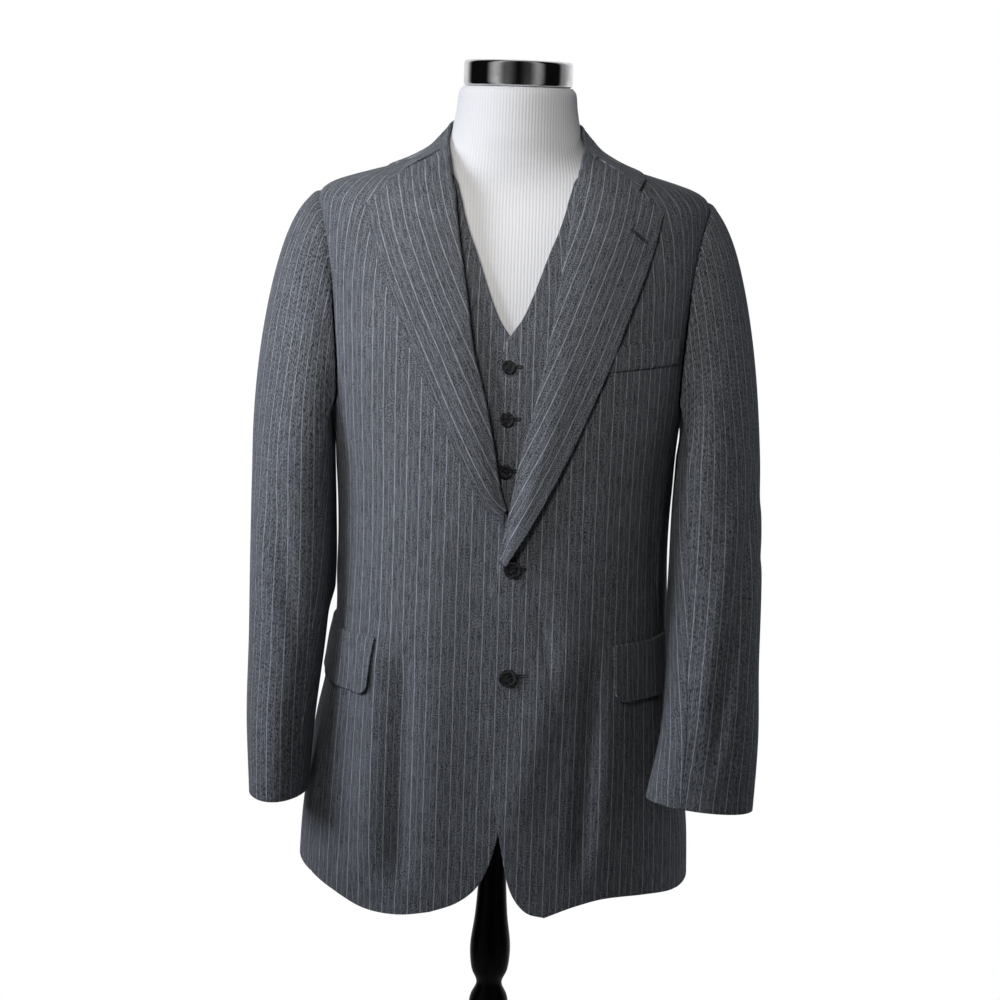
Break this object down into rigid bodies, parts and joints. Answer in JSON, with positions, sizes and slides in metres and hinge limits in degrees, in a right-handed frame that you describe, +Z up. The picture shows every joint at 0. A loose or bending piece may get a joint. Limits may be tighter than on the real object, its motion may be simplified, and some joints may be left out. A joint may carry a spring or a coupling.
{
  "type": "pinstripe blazer and waistcoat set on a dress form",
  "caption": "Single-breasted pinstripe blazer over a matching waistcoat, worn by a limbless dress form with a polished neck cap on a turned wooden tripod stand.",
  "frame": {"origin": "on the floor, on the axis of the stand's post", "axes": "+Z up along the post, -Y is where the buttoned front faces, +X is the wearer's left"},
  "size_m": [0.5475, 0.4028, 1.56],
  "materials": {
    "suit_cloth": "matte worsted wool with fine pale stripes",
    "button": "dark satin four-hole button",
    "form_cover": "fine rib knit in pale grey",
    "polished_cap": "polished",
    "dark_wood": "dark stained and satin lacquered"
  },
  "bodies": {
    "root": {"jacket_front_left": "suit_cloth", "jacket_front_right": "suit_cloth", "jacket_side_left": "suit_cloth", "jacket_side_right": "suit_cloth", "jacket_back_left": "suit_cloth", "jacket_back_right": "suit_cloth", "sleeve_top_left": "suit_cloth", "sleeve_top_right": "suit_cloth", "sleeve_under_left": "suit_cloth", "sleeve_under_right": "suit_cloth", "collar": "suit_cloth", "lapel_left": "suit_cloth", "lapel_right": "suit_cloth", "pocket_flap_left": "suit_cloth", "pocket_flap_right": "suit_cloth", "breast_welt": "suit_cloth", "waistcoat_front_left": "suit_cloth", "waistcoat_front_right": "suit_cloth", "waistcoat_back_left": "suit_cloth", "waistcoat_back_right": "suit_cloth", "jacket_button_upper": "button", "jacket_button_lower": "button", "waistcoat_button_1": "button", "waistcoat_button_2": "button", "waistcoat_button_3": "button", "waistcoat_button_4": "button", "waistcoat_button_5": "button", "form_torso": "form_cover", "neck_cap": "polished_cap", "stand_post": "dark_wood", "stand_hub": "dark_wood", "stand_leg_1": "dark_wood", "stand_leg_2": "dark_wood", "stand_leg_3": "dark_wood"}
  },
  "joints": []
}
